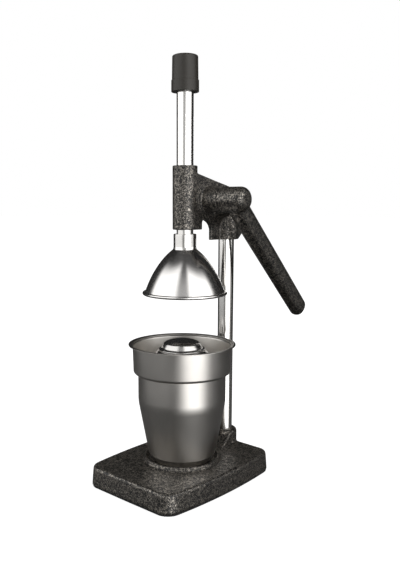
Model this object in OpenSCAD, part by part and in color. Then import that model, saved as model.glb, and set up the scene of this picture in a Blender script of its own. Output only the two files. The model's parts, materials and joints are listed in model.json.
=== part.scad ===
// Lever citrus juice press: a rack ram in a cast head, driven by a pinion on a side lever,
// presses a bell over a reamer that stands in a strainer bowl on a juice cup.
// The origin is on the bench, under the centre of the base. +X is the lever's side, -Y the front.

/* [Base] */
// Width of the base across its middle
base_w = 148; // [136:1:170]
// Length of the base from front to back
base_l = 195; // [186:1:230]
// Height of the base casting
base_h = 23.2; // [20:0.1:30]
// How far each long side draws in towards its ends
side_bow = 6.7; // [3:0.1:10]
// Radius of the base's corners
base_corner_r = 19; // [12:1:26]
// How much the base narrows towards its top, on each side
base_draft = 1.9; // [0.5:0.1:3]
// Rounding of the base's top edge
base_edge_r = 3.5; // [1:0.5:6]
// Wall of the hollow base casting
base_wall = 7; // [6:0.5:8]
// Thickness of the rubber mat under the base
mat_t = 2; // [1.5:0.5:4]
// How far the mat stays in from the edge of the base
mat_inset = 1; // [0.5:0.5:3]
// Middle radius of the ring that locates the cup
ring_r = 44.8; // [44:0.1:48]
// Half the width of the cup ring
ring_bead_r = 1.6; // [1.3:0.1:2]
// Height of the cup ring
ring_h = 4.5; // [4:0.1:5]

/* [Post] */
// Diameter of the post
post_d = 20; // [18:0.5:22]
// Distance between the ram's axis and the post's axis
post_reach = 79.1; // [77:0.1:82]
// Radius of the boss that holds the post
boss_r = 16.4; // [15.5:0.1:18]
// Height of the boss above the base
boss_h = 18.5; // [16:0.5:24]
// Rounding of the boss's top edge
boss_edge_r = 4.5; // [2:0.5:5]
// Length of the ramp in front of the boss, from the boss's axis
ramp_l = 32; // [26:0.5:34]
// How far the ramp's foot stands out beyond the boss on each side
ramp_flare = 6; // [3:0.5:8]
// How far the post stands in the base below the base's top
post_sink = 10; // [8:0.5:11]
// Diameter of the stud under the post
stud_d = 10; // [8:0.5:11]
// Across the flats of the post nut
nut_af = 16; // [15:0.5:17]
// Height of the post nut
nut_h = 5.5; // [5:0.1:6]
// Thickness of the washer under the post nut
post_washer_t = 1.8; // [1.5:0.1:2]
// Thickness of the boss's floor under the post
post_floor_t = 4; // [3.5:0.1:5]
// Room round the post nut for a socket wrench
wrench_room = 1.4; // [1:0.1:1.6]

/* [Ram] */
// How far the ram's axis lies behind the centre of the cup
ram_back = 5; // [3:0.5:6]
// Diameter of the ram
ram_d = 20; // [19:0.5:21]
// Clear length of ram between the sleeve and the cap
stroke_room = 84; // [80:0.5:100]
// Ram that shows between the collar and the sleeve
neck_gap = 5; // [4:0.1:10]
// How far the lever turns from its stop
lever_travel = 245; // [200:1:245]
// Height of the rubber cap
cap_h = 41.4; // [38:0.1:50]
// Radius of the cap at its skirt
cap_skirt_r = 16.2; // [15.6:0.1:17]
// Radius of the cap above its skirt
cap_body_r = 15.5; // [14.5:0.1:15.8]
// Height of the cap's skirt
cap_skirt_h = 13.4; // [10:0.1:16]
// How deep the ram goes into the cap
cap_depth = 36; // [30:0.5:37]

/* [Gears] */
// Module of the rack and pinion
gear_module = 1.75; // [1.7:0.05:1.75]
// Teeth on the pinion
pinion_teeth = 20; // [20:1:20]
// Slope of the tooth flanks
pressure_angle = 20; // [20:0.5:21]
// Play taken from each set of teeth
tooth_play = 0.3; // [0.2:0.05:0.4]
// How far the tips of the rack's teeth lie inside the ram's surface
rack_flat = 0.75; // [0.6:0.05:1]
// Room round the pinion's tips
tooth_room = 0.5; // [0.4:0.05:0.8]
// Width of the pinion
pinion_w = 16; // [14:0.5:16]

/* [Head] */
// Length of the sleeve round the ram
sleeve_h = 75.2; // [72:0.1:80]
// Outer radius of the sleeve
sleeve_r = 14.8; // [14.4:0.1:15.2]
// Height of the pinion's axis above the sleeve's foot
pinion_up = 35.7; // [35:0.1:37]
// Height of the web's top at the sleeve, above the sleeve's foot
web_rise = 67.7; // [66:0.1:70]
// Fall of the web's top towards the post, in degrees
web_fall = 13.7; // [10:0.1:14]
// Radius of the socket round the post
socket_r = 15.7; // [14.8:0.1:16]
// How far the socket reaches below the sleeve's foot
socket_drop = 14.4; // [10:0.1:16]
// Depth of the post in the socket
socket_depth = 50; // [40:1:52]
// Height of the arch's roof above the sleeve's foot
arch_h = 12; // [10:0.1:12]
// Thickness of the ribs before and behind the socket
rib_t = 5; // [4:0.1:7]
// Distance from the front rib's edge to the post's axis
rib_reach = 32.5; // [30:0.1:34]
// Rounding of the arch at its back
arch_round_r = 14.5; // [12:0.5:15]
// Rounding of the arch at its front
arch_corner_r = 4.5; // [2:0.5:6]
// Rounding between the front rib and the web
rib_fillet_r = 21; // [18:0.5:22]
// How far the rear rib reaches behind the socket
rear_rib_l = 16; // [10:0.5:18]
// Thickness of the guide bushes
bush_wall = 1.5; // [1.2:0.1:1.8]
// Length of the guide bushes
guide_bush_l = 15; // [12:0.5:15.5]

/* [Lever] */
// Outer radius of the barrel
barrel_r = 14.8; // [14:0.1:15.5]
// Length of the barrel beyond the web
barrel_l = 23.1; // [20:0.1:28]
// Rounding between the barrel and the web
barrel_fillet_r = 4; // [3:0.5:4.5]
// Length of the lever's hub
hub_l = 34.5; // [30:0.1:38]
// Rounding of the hub's closed end
hub_round_r = 9; // [4:0.5:9.5]
// Angle of the lever below the horizontal at rest, in degrees
lever_rest_angle = 45; // [40:1:50]
// Length of the lever from its axis to its tip
lever_l = 210.5; // [180:1:230]
// Width of the arm at the hub
arm_root_w = 25.8; // [22:0.1:26]
// Width of the arm near its tip
arm_tip_w = 24.2; // [20:0.1:25]
// Thickness of the arm at the hub
arm_root_t = 21; // [18:0.1:22]
// Thickness of the arm near its tip
arm_tip_t = 19; // [16:0.1:21]
// Length of the rounding at the arm's tip
arm_round_l = 9; // [6:0.5:11]
// Distance from the hub's inner face to the middle of the arm
arm_in = 14.2; // [13:0.1:16]
// Diameter of the pinion shaft
shaft_d = 14; // [13:0.1:15]
// Diameter of the shaft's left journal
journal_d = 10; // [9:0.1:11]
// Thickness of the bushes on the shaft
shaft_bush_wall = 2; // [1.8:0.1:2.2]
// Solid end of the lever's hub
hub_wall = 2; // [1.5:0.1:4]
// Thickness of the washers beside the barrel and on the journal
thin_washer_t = 0.7; // [0.6:0.05:0.9]
// Thickness of the retaining ring
ring_t = 1.1; // [1:0.1:1.3]
// Width of the keys
key_w = 5; // [4:0.1:5]
// Diameter of the set screws in lever and socket
grub_d = 6; // [5:0.1:6.5]

/* [Cover] */
// Thickness of the gear cover
cover_t = 3.5; // [3:0.1:4]
// How far the cover laps over the rim of its hole
cover_lap = 4.65; // [4.4:0.05:4.7]
// Diameter of the cover's screws
cover_screw_d = 3; // [2.5:0.1:3]
// How deep the cover's screws go into the head
cover_screw_l = 11; // [8:0.5:12]

/* [Bell] */
// Radius of the bell's rolled rim, at the middle of the roll
bell_rim_r = 49.4; // [47:0.1:50.5]
// Radius of the rolls on the bell's rim
bell_roll_r = 2; // [1.4:0.1:2.4]
// Height of the bell
bell_h = 55.1; // [50:0.1:60]
// Wall of the bell
bell_wall = 2.2; // [1.8:0.1:2.6]
// Radius of the collar over the bell
collar_r = 13.7; // [13.3:0.05:14]
// Height of the collar over the bell
collar_h = 18; // [16:0.1:22]
// How far the ram's foot stands above the collar's foot
collar_floor_t = 5; // [4:0.5:6]
// Diameter of the screw that holds the bell
bell_screw_d = 8; // [6:0.5:8]

/* [Cup] */
// Height of the cup
cup_h = 109.5; // [100:0.5:120]
// Radius of the cup's upper band
cup_band_r = 53.7; // [52.5:0.1:54]
// Height of the cup's upper band
cup_band_h = 34.5; // [30:0.5:40]
// Radius of the cup just above its foot
cup_low_r = 41; // [40:0.1:41.5]
// Rounding of the cup's foot
cup_foot_round = 8.5; // [7:0.5:9]
// Wall of the cup and of the bowl
sheet_t = 1.6; // [1.4:0.1:1.8]

/* [Bowl] */
// Height of the bowl that stands on the cup
bowl_h = 37.2; // [34:0.1:42]
// Radius of the bowl's rolled rim, at the middle of the roll
bowl_rim_r = 63.7; // [62:0.1:66]
// Radius of the roll on the bowl's rim
bowl_roll_r = 1.5; // [1.2:0.1:1.7]
// Outer radius of the bowl's wall under the flare
bowl_wall_r = 61.2; // [60.5:0.1:62]
// Outer radius of the bowl's wall at its foot
bowl_foot_r = 59.8; // [59:0.1:60.5]
// How deep the bowl's spigot goes into the cup
spigot_h = 7.5; // [6:0.5:9]
// Clear height between the bowl and the bell at rest
fruit_gap = 58.3; // [58:0.1:70]
// Height of the reamer above the strainer plate
reamer_h = 38.3; // [34:0.1:40]
// Radius of the reamer's knob
knob_r = 24; // [22:0.1:25]
// Radius of the flange under the knob
flange_r = 30.3; // [28:0.1:31]
// Radius of the reamer's foot
reamer_foot_r = 36; // [34:0.1:37]
// Diameter of the strainer's holes
strainer_hole_d = 2.6; // [2:0.1:3]

/* [Hidden] */
$fn = 96;

// Fits and small sizes that many pieces use
cut = 1;            // how far a cut runs past the face it opens
fit = 0.05;         // running clearance of a shaft, on the radius
seat = 0.02;        // clearance of a seated piece, on the radius
gap = 0.3;          // clearance between pieces that move past each other
end_play = 0.1;     // play between flat faces that turn on each other
edge_break = 0.5;   // small chamfer of turned edges

// Heights above the bench, from the mat up
base_top = mat_t + base_h;
cup_top = base_top + cup_h;
bowl_top = cup_top + bowl_h;
bell_low = bowl_top + fruit_gap;
bell_top = bell_low + bell_h;
collar_top = bell_top + collar_h;
sleeve_low = collar_top + neck_gap;
sleeve_top = sleeve_low + sleeve_h;
cap_low = sleeve_top + stroke_room;
cap_top = cap_low + cap_h;
pinion_z = sleeve_low + pinion_up;
socket_low = sleeve_low - socket_drop;
web_top = sleeve_low + web_rise;
arch_top = sleeve_low + arch_h;

// Base
half_l = base_l / 2;
side_r = (half_l * half_l + side_bow * side_bow) / (2 * side_bow);
side_x = base_w / 2 - side_r;
corner_y = half_l - base_corner_r;
corner_x = side_x + sqrt(pow(side_r - base_corner_r, 2) - corner_y * corner_y);
corner_angle = atan2(corner_y, corner_x - side_x);
side_steps = 10;
corner_steps = 8;
edge_steps = 5;
post_y = ram_back + post_reach;
boss_top = base_top + boss_h;
post_low = base_top - post_sink;
nut_face = post_low - post_floor_t;
pocket_r = nut_af / 2 / cos(30) + wrench_room;
rib_w = base_wall;

// Ram and rack: the teeth are cut in the back of the ram
ram_r = ram_d / 2;
ram_low = bell_top + collar_floor_t;
ram_top = cap_low + cap_depth;
pitch_r = gear_module * pinion_teeth / 2;
pitch = PI * gear_module;
dedendum = 1.25 * gear_module;
rack_in = ram_r - rack_flat;
pitch_y = rack_in - gear_module;
pinion_y = ram_back + pitch_y + pitch_r;
tip_r = pitch_r + gear_module;
root_r = pitch_r - dedendum;
base_circle_r = pitch_r * cos(pressure_angle);
ram_travel = pitch_r * lever_travel * PI / 180;
teeth_below = ceil(tip_r * sin(45) / pitch);
teeth_above = ceil((ram_travel + tip_r * sin(45)) / pitch);
guide_bore_r = ram_r + bush_wall;

// Shaft line, along X: chamber, walls, barrel, seam and hub
web_r = sleeve_r;
chamber_r = tip_r + tooth_room;
shaft_r = shaft_d / 2;
journal_r = journal_d / 2;
pinion_half = pinion_w / 2;
chamber_x = pinion_half + 2 * gap;
shoulder_x = -pinion_half - gap;
boss_in_x = shoulder_x - gap;
barrel_x = web_r + barrel_l;
seam = thin_washer_t + 2 * end_play;
hub_x = barrel_x + seam;
hub_end = hub_x + hub_l;
shaft_end = hub_end - hub_wall;
arm_x = hub_x + arm_in;
cover_r = chamber_r + cover_lap;
cover_x = -web_r - cover_t;
cover_boss_r = 2 * journal_r;
cover_bush_r = journal_r + shaft_bush_wall;
cover_screw_r = cover_screw_d / 2;
cover_head_r = 1.6 * cover_screw_r;
cover_screw_at = cover_r - cover_head_r;
washer_x = cover_x - end_play - thin_washer_t;
ring_x = washer_x - end_play - ring_t;
journal_end = ring_x - ring_t;
groove_r = journal_r - 2 * gap;
key_out = shaft_r + 0.35 * key_w;
key_in = key_out - key_w;
grub_r = grub_d / 2;

// Bell
bell_shoulder_r = collar_r;
bell_edge_r = bell_rim_r - bell_roll_r / 2;
bell_steps = 20;
bell_curve_shares = [[0, 1], [0.44, 0.8], [0.81, 0.42], [1, 0.05]];
bell_boss_h = 3.5 * bell_wall;
bell_screw_r = bell_screw_d / 2;
bell_washer_r = 2.2 * bell_screw_r;
bell_washer_t = 0.4 * bell_screw_r;
bell_head_h = 1.3 * bell_screw_r;

// Cup, bowl and reamer
cup_floor_t = 1.4 * sheet_t;
spigot_r = cup_band_r - sheet_t - gap;
shelf_in_r = min(spigot_r, bowl_foot_r - 2 * sheet_t) - sheet_t;
ledge_r = shelf_in_r - 2 * sheet_t;
plate_low = cup_top;
plate_t = 0.75 * sheet_t;
plate_r = shelf_in_r - gap;
reamer_low = plate_low + plate_t;
reamer_top = reamer_low + reamer_h;
reamer_wall = 1.5 * sheet_t;
plate_hole_r = reamer_foot_r - 5 * sheet_t;
strainer_ring_step = 1.8 * strainer_hole_d;

function arc(c, r, a0, a1, n) =
    [for (i = [0:n]) let (a = a0 + (a1 - a0) * i / n) [c[0] + r * cos(a), c[1] + r * sin(a)]];

// Outline of the base, drawn in by inset: long side arcs joined by round corners
function quarter(inset, sx, sy) = [
    for (p = concat(
        arc([side_x, 0], side_r - inset, 0, corner_angle, side_steps),
        arc([corner_x, corner_y], base_corner_r - inset,
            corner_angle + (90 - corner_angle) / corner_steps, 90, corner_steps - 1)))
        [sx * p[0], sy * p[1]]];
function reversed(list) = [for (i = [len(list) - 1:-1:0]) list[i]];
function skip_first(list) = [for (i = [1:len(list) - 1]) list[i]];
function skip_last(list) = [for (i = [0:len(list) - 2]) list[i]];
function base_outline(inset) = concat(
    skip_last(quarter(inset, 1, 1)), [[0, half_l - inset]],
    skip_last(reversed(skip_last(quarter(inset, -1, 1)))), [[side_x + side_r - inset, 0] * -1],
    skip_last(skip_first(quarter(inset, -1, -1))), [[0, inset - half_l]],
    skip_last(reversed(skip_last(quarter(inset, 1, -1)))));

// A solid through a stack of rings with as many points each, closed by its first and last ring
module loft(rings) {
    n = len(rings[0]);
    last = len(rings) - 1;
    sides = [for (k = [0:last - 1], i = [0:n - 1]) let (j = (i + 1) % n)
        each [[k * n + i, (k + 1) * n + i, (k + 1) * n + j], [k * n + i, (k + 1) * n + j, k * n + j]]];
    polyhedron(
        points = [for (ring = rings) each ring],
        faces = concat(sides, [[for (i = [0:n - 1]) i]], [[for (i = [n - 1:-1:0]) last * n + i]]));
}

// A cylinder along X from x0 to x1
module bar_x(r, x0, x1) {
    translate([x0, 0, 0]) rotate([0, 90, 0]) cylinder(r = r, h = x1 - x0);
}

// A ring along Z
module tube(r_out, r_in, z0, z1) {
    difference() {
        translate([0, 0, z0]) cylinder(r = r_out, h = z1 - z0);
        translate([0, 0, z0 - cut]) cylinder(r = r_in, h = z1 - z0 + 2 * cut);
    }
}

// A ring along X
module tube_x(r_out, r_in, x0, x1) {
    difference() {
        bar_x(r_out, x0, x1);
        bar_x(r_in, x0 - cut, x1 + cut);
    }
}

// A plate with an outline in Y and Z, w wide along X
module plate_yz(points, w) {
    translate([-w / 2, 0, 0]) rotate([90, 0, 90]) linear_extrude(height = w) polygon(points);
}

module at_post() {
    translate([0, post_y, 0]) children();
}

module at_ram() {
    translate([0, ram_back, 0]) children();
}

module at_pinion() {
    translate([0, pinion_y, pinion_z]) children();
}

// The base: a drafted shell with a rounded top edge, the cup ring, and the boss with its ramp
module base_shell() {
    side_inset = base_draft * (base_h - base_edge_r) / base_h;
    low = [for (p = base_outline(0)) [p[0], p[1], mat_t]];
    round_top = [for (k = [0:edge_steps]) let (a = 90 * k / edge_steps)
        [for (p = base_outline(side_inset + base_edge_r * (1 - cos(a))))
            [p[0], p[1], base_top - base_edge_r * (1 - sin(a))]]];
    loft(concat([low], round_top));
}

module post_boss() {
    at_post() rotate_extrude() polygon(concat(
        [[0, mat_t], [boss_r, mat_t]],
        arc([boss_r - boss_edge_r, boss_top - boss_edge_r], boss_edge_r, 0, 90, edge_steps),
        [[0, boss_top]]));
    ramp_top = boss_top - boss_edge_r / 2;
    half_top = boss_r - boss_edge_r / 4;
    half_foot = half_top + ramp_flare;
    foot_y = post_y - ramp_l;
    brow_y = post_y - ramp_l / 4.5;
    loft([
        [[half_foot, foot_y, post_low], [half_top, post_y, post_low],
            [-half_top, post_y, post_low], [-half_foot, foot_y, post_low]],
        [[half_foot, foot_y, base_top], [half_top, post_y, base_top],
            [-half_top, post_y, base_top], [-half_foot, foot_y, base_top]],
        [[half_top, brow_y, ramp_top], [half_top, post_y, ramp_top],
            [-half_top, post_y, ramp_top], [-half_top, brow_y, ramp_top]]]);
}

module cup_ring() {
    rotate_extrude() translate([ring_r, base_top + ring_h - ring_bead_r]) circle(r = ring_bead_r, $fn = 48);
    tube(ring_r + ring_bead_r, ring_r - ring_bead_r, base_top - cut, base_top + ring_h - ring_bead_r);
    rotate_extrude() translate([ring_r + ring_bead_r, base_top + ring_bead_r / 2])
        circle(r = ring_bead_r, $fn = 48);
}

module base_casting() {
    inside = base_outline(base_wall + base_draft);
    cavity_h = base_h - base_wall;
    color([0.16, 0.155, 0.15]) difference() {
        union() {
            difference() {
                base_shell();
                difference() {
                    translate([0, 0, mat_t - cut])
                        linear_extrude(height = cavity_h + cut) polygon(inside);
                    at_post() cylinder(r = boss_r, h = base_top);
                    for (x = [-base_w / 5, base_w / 5])
                        translate([x - rib_w / 2, -half_l, 0]) cube([rib_w, base_l, base_top]);
                }
            }
            post_boss();
            cup_ring();
        }
        at_post() {
            translate([0, 0, post_low]) cylinder(r = post_d / 2 + seat, h = boss_top);
            cylinder(r = stud_d / 2 + gap, h = base_top);
            translate([0, 0, mat_t - cut]) cylinder(r = pocket_r, h = nut_face - mat_t + cut);
        }
    }
}

module base_mat() {
    color([0.08, 0.08, 0.08]) linear_extrude(height = mat_t) polygon(base_outline(mat_inset));
}

// The post with its stud, and what holds it
module post() {
    color([0.85, 0.85, 0.86]) at_post() {
        translate([0, 0, post_low])
            cylinder(r = post_d / 2, h = socket_low + socket_depth - post_low);
        stud_low = nut_face - post_washer_t - nut_h;
        translate([0, 0, stud_low]) cylinder(r = stud_d / 2, h = post_low + cut - stud_low);
    }
}

module post_washer() {
    color([0.7, 0.7, 0.7]) at_post()
        tube(nut_af / 2 / cos(30), stud_d / 2 + gap, nut_face - post_washer_t, nut_face);
}

module post_nut() {
    top = nut_face - post_washer_t;
    color([0.7, 0.7, 0.7]) at_post() difference() {
        translate([0, 0, top - nut_h]) cylinder(r = nut_af / 2 / cos(30), h = nut_h, $fn = 6);
        translate([0, 0, top - nut_h - cut]) cylinder(r = stud_d / 2 + seat, h = nut_h + 2 * cut);
    }
}

// The web between sleeve and socket: full width over the arch, hollowed to thin ribs below it
function web_z(y) = web_top - (y - ram_back) * tan(web_fall);

module web_body() {
    rear_y = post_y + socket_r;
    rib_y = post_y - rib_reach;
    arch_back = rib_y - arch_round_r;
    housing_y = ram_back + sleeve_r;
    full_z = arch_top + rib_t * 1.4;
    intersection() {
        plate_yz(concat([[ram_back, arch_top - arch_corner_r]],
            arc([housing_y + arch_corner_r, arch_top - arch_corner_r], arch_corner_r, 180, 90, edge_steps),
            [[arch_back, arch_top], [rib_y - rib_t, full_z], [rear_y, full_z],
                [rear_y, web_z(rear_y)], [ram_back, web_z(ram_back)]]), 4 * socket_r);
        union() {
            at_ram() cylinder(r = sleeve_r, h = web_top);
            at_post() cylinder(r = socket_r, h = web_top);
            linear_extrude(height = web_top) polygon([[-sleeve_r, ram_back], [sleeve_r, ram_back],
                [socket_r, post_y], [-socket_r, post_y]]);
        }
    }
    // Front rib, with the arch's round shoulder, widening upward into the web
    fillet_x = rib_t / 2 + rib_fillet_r;
    fillet_z = full_z - sqrt(pow(rib_fillet_r, 2) - pow(fillet_x - socket_r, 2));
    fillet_end = 180 - asin((full_z - fillet_z) / rib_fillet_r);
    half = concat([[rib_t / 2, socket_low - cut]],
        arc([fillet_x, fillet_z], rib_fillet_r, 180, fillet_end, corner_steps),
        [[socket_r, full_z + 2 * rib_t]]);
    intersection() {
        plate_yz(concat([[rib_y, socket_low]],
            arc([arch_back, arch_top - arch_round_r], arch_round_r, 0, 90, corner_steps),
            [[arch_back, full_z + rib_t], [post_y, full_z + rib_t], [post_y, socket_low]]),
            4 * socket_r);
        translate([0, post_y, 0]) rotate([90, 0, 0]) linear_extrude(height = post_reach)
            polygon(concat(half, [for (p = reversed(half)) [-p[0], p[1]]]));
    }
    // Thin rear rib behind the socket
    rib_corner = rear_rib_l / 2.2;
    plate_yz([[post_y, socket_low], [rear_y + rear_rib_l - rib_corner, socket_low],
        [rear_y + rear_rib_l, socket_low + rib_corner], [rear_y + rear_rib_l, full_z],
        [rear_y, web_z(rear_y) - rib_t / 2], [post_y, web_z(rear_y) - rib_t / 2]], rib_t);
}

module head_casting() {
    fillet_end_r = barrel_r + barrel_fillet_r;
    color([0.16, 0.155, 0.15]) difference() {
        union() {
            at_ram() translate([0, 0, sleeve_low]) cylinder(r = sleeve_r, h = sleeve_h);
            translate([-sleeve_r, ram_back, sleeve_low]) cube([2 * sleeve_r, sleeve_r, web_rise / 2]);
            at_post() translate([0, 0, socket_low])
                cylinder(r = socket_r, h = web_z(post_y + socket_r) - socket_low);
            web_body();
            at_pinion() {
                bar_x(barrel_r, 0, barrel_x);
                rotate([0, 90, 0]) rotate_extrude() polygon(concat([[0, 0], [fillet_end_r, 0]],
                    arc([fillet_end_r, web_r + barrel_fillet_r], barrel_fillet_r, 270, 180, corner_steps),
                    [[0, web_r + barrel_fillet_r]]));
            }
        }
        at_ram() translate([0, 0, sleeve_low - cut]) cylinder(r = guide_bore_r, h = sleeve_h + 2 * cut);
        at_post() translate([0, 0, socket_low - cut])
            cylinder(r = post_d / 2 + seat, h = socket_depth + cut + gap);
        at_pinion() {
            bar_x(cover_r + gap, -socket_r - cut, -web_r);
            bar_x(chamber_r, -web_r - cut, chamber_x);
            bar_x(shaft_r + shaft_bush_wall, 0, barrel_x + cut);
        }
        for (a = cover_screw_angles) at_cover_screw(a)
            bar_x(cover_screw_r, -web_r - cut, cover_screw_l - web_r);
        for (z = set_screw_z) translate([0, post_y, z])
            bar_x(grub_r, -socket_r - cut, 0);
    }
}

// Screws that lock the socket on the post, from the left
set_screw_z = [socket_low + socket_r, socket_low + 2.4 * socket_r];

module grub_screw(r, l) {
    difference() {
        bar_x(r, 0, l);
        bar_x(r / 2, -cut, l / 3, $fn = 6);
    }
}

module post_set_screws() {
    color([0.2, 0.2, 0.2]) for (z = set_screw_z)
        translate([-socket_r, post_y, z]) grub_screw(grub_r - seat, socket_r - post_d / 2 - end_play);
}

module upper_guide_bush() {
    color([0.75, 0.6, 0.35]) at_ram()
        tube(guide_bore_r - seat, ram_r + fit, sleeve_top - gap - guide_bush_l, sleeve_top - gap);
}

module lower_guide_bush() {
    color([0.75, 0.6, 0.35]) at_ram()
        tube(guide_bore_r - seat, ram_r + fit, sleeve_low + gap, sleeve_low + gap + guide_bush_l);
}

// Cover on the left of the head, with the bush of the shaft's left journal
cover_screw_angles = [0, 120, 240];

module at_cover_screw(a) {
    at_pinion() translate([0, cover_screw_at * cos(a), cover_screw_at * sin(a)]) children();
}

module gear_cover() {
    color([0.16, 0.155, 0.15]) difference() {
        at_pinion() {
            bar_x(cover_r, cover_x, -web_r);
            bar_x(cover_boss_r, -web_r - cover_t / 2, boss_in_x);
        }
        translate([cover_x - cut, ram_back, arch_top + gap - 2 * cover_r])
            cube([cover_t + 2 * cut, 4 * cover_r, 2 * cover_r]);
        at_pinion() bar_x(cover_bush_r, cover_x - cut, boss_in_x + cut);
        for (a = cover_screw_angles) at_cover_screw(a)
            bar_x(cover_screw_r + gap, cover_x - cut, -web_r + cut);
    }
}

module cover_screws() {
    color([0.7, 0.7, 0.7]) for (a = cover_screw_angles) at_cover_screw(a) difference() {
        union() {
            bar_x(cover_screw_r - seat, cover_x - gap, cover_screw_l - web_r - gap);
            bar_x(cover_head_r, cover_x - cover_screw_r, cover_x);
        }
        bar_x(cover_screw_r, cover_x - 2 * cover_screw_r, cover_x - cover_screw_r / 2, $fn = 6);
    }
}

module cover_bush() {
    color([0.75, 0.6, 0.35]) at_pinion()
        tube_x(cover_bush_r - seat, journal_r + fit, cover_x + end_play, boss_in_x);
}

module barrel_bush() {
    color([0.75, 0.6, 0.35]) at_pinion()
        tube_x(shaft_r + shaft_bush_wall - seat, shaft_r + fit, chamber_x + gap, barrel_x - gap);
}

module thrust_washer() {
    color([0.75, 0.6, 0.35]) at_pinion()
        tube_x(barrel_r - 3 * gap, shaft_r + gap, barrel_x + end_play, hub_x - end_play);
}

// Involute teeth: half the angle that a tooth fills at radius r
function involute(a) = tan(a) - a * PI / 180;
function half_tooth(r) = (90 / pinion_teeth - tooth_play / 2 / pitch_r * 180 / PI)
    + (involute(pressure_angle) - involute(acos(min(1, base_circle_r / r)))) * 180 / PI;
flank_steps = 5;
function flank(side) = [for (i = [0:flank_steps])
    let (r = base_circle_r + (tip_r - base_circle_r) * i / flank_steps) [r, side * half_tooth(r)]];
function tooth(k) = [for (p = concat([[root_r, -half_tooth(base_circle_r)]], flank(-1),
    reversed(flank(1)), [[root_r, half_tooth(base_circle_r)]]))
    let (a = k * 360 / pinion_teeth + 180 + p[1]) [p[0] * cos(a), p[0] * sin(a)]];

module key_slot(x0, x1, clear) {
    translate([x0, -key_w / 2 - clear, key_in - clear])
        cube([x1 - x0, key_w + 2 * clear, key_w + 2 * clear]);
}

module pinion() {
    color([0.6, 0.6, 0.62]) at_pinion() difference() {
        translate([-pinion_half, 0, 0]) rotate([90, 0, 90]) linear_extrude(height = pinion_w)
            polygon([for (k = [0:pinion_teeth - 1]) each tooth(k)]);
        bar_x(shaft_r + seat, -pinion_w, pinion_w);
        key_slot(-pinion_w, pinion_w, seat);
    }
}

module pinion_key() {
    color([0.5, 0.5, 0.5]) at_pinion() key_slot(-pinion_half + gap, pinion_half - gap, 0);
}

module pinion_shaft() {
    color([0.75, 0.75, 0.76]) at_pinion() difference() {
        union() {
            bar_x(shaft_r, shoulder_x, shaft_end);
            bar_x(journal_r, journal_end, shoulder_x + cut);
        }
        key_slot(-pinion_half + gap - seat, pinion_half - gap + seat, seat);
        key_slot(hub_x + hub_wall - seat, shaft_end + cut, seat);
        tube_x(2 * journal_r, groove_r, ring_x - end_play, ring_x + ring_t + end_play);
        for (x = lever_grub_x) translate([x, 0, 0]) rotate([lever_grub_turn, 0, 0])
            translate([0, 0, shaft_r - gap]) cylinder(r = grub_r + gap, h = shaft_r);
    }
}

module shaft_washer() {
    color([0.7, 0.7, 0.7]) at_pinion()
        tube_x(1.7 * journal_r, journal_r + end_play, washer_x, washer_x + thin_washer_t);
}

module retaining_ring() {
    color([0.35, 0.35, 0.35]) at_pinion() difference() {
        tube_x(1.5 * journal_r, groove_r + seat, ring_x, ring_x + ring_t);
        translate([ring_x - cut, -groove_r / 2, -2 * journal_r])
            cube([ring_t + 2 * cut, groove_r, 2 * journal_r]);
    }
}

// The lever: a hub closed at its outer end, and an arm of oval section with a rounded tip
lever_grub_x = [arm_x - arm_in / 2, arm_x + arm_in / 2];
lever_grub_turn = -lever_rest_angle;
arm_sides = 28;
arm_steps = 6;

function oval(w, t, s) = [for (i = [0:arm_sides - 1]) let (a = 360 * i / arm_sides)
    [t / 2 * sign(cos(a)) * pow(abs(cos(a)), 0.8), -w / 2 * sign(sin(a)) * pow(abs(sin(a)), 0.8), -s]];

module arm() {
    straight = lever_l - arm_round_l;
    body = [for (k = [0:2]) let (u = k / 2)
        oval(arm_root_w + (arm_tip_w - arm_root_w) * u, arm_root_t + (arm_tip_t - arm_root_t) * u,
            straight * u)];
    tip = [for (k = [1:arm_steps - 1]) let (a = 90 * k / arm_steps)
        oval(arm_tip_w * pow(cos(a), 0.75), arm_tip_t * pow(cos(a), 0.75), straight + arm_round_l * sin(a))];
    end = [oval(arm_tip_w * 0.15, arm_tip_t * 0.15, lever_l)];
    loft(concat(body, tip, end));
}

module lever() {
    color([0.16, 0.155, 0.15]) at_pinion() difference() {
        union() {
            rotate([0, 90, 0]) rotate_extrude() polygon(concat([[0, hub_x], [barrel_r, hub_x]],
                arc([barrel_r - hub_round_r, hub_end - hub_round_r], hub_round_r, 0, 90, corner_steps),
                [[0, hub_end]]));
            translate([arm_x, 0, 0]) rotate([90 - lever_rest_angle, 0, 0]) arm();
        }
        bar_x(shaft_r + seat, hub_x - cut, shaft_end + gap);
        key_slot(hub_x - cut, shaft_end + gap, seat);
        for (x = lever_grub_x) translate([x, 0, 0]) rotate([lever_grub_turn, 0, 0])
            cylinder(r = grub_r, h = 2 * barrel_r);
    }
}

module lever_key() {
    color([0.5, 0.5, 0.5]) at_pinion() key_slot(hub_x + hub_wall, shaft_end, 0);
}

module lever_grub_screws() {
    color([0.2, 0.2, 0.2]) at_pinion() for (x = lever_grub_x)
        translate([x, 0, 0]) rotate([lever_grub_turn, 0, 0]) rotate([0, 90, 0])
            translate([-barrel_r + end_play, 0, 0]) grub_screw(grub_r - seat, barrel_r - shaft_r - end_play);
}

// The ram: a round bar with rack teeth cut into its back
module rack_gap(z) {
    slope = tan(pressure_angle);
    top_y = ram_r + cut;
    root_half = pitch / 4 + tooth_play / 2 - dedendum * slope;
    top_half = pitch / 4 + tooth_play / 2 + (top_y - pitch_y) * slope;
    plate_yz([[pitch_y - dedendum, z - root_half], [top_y, z - top_half], [top_y, z + top_half],
        [pitch_y - dedendum, z + root_half]], 2 * ram_d);
}

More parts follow.
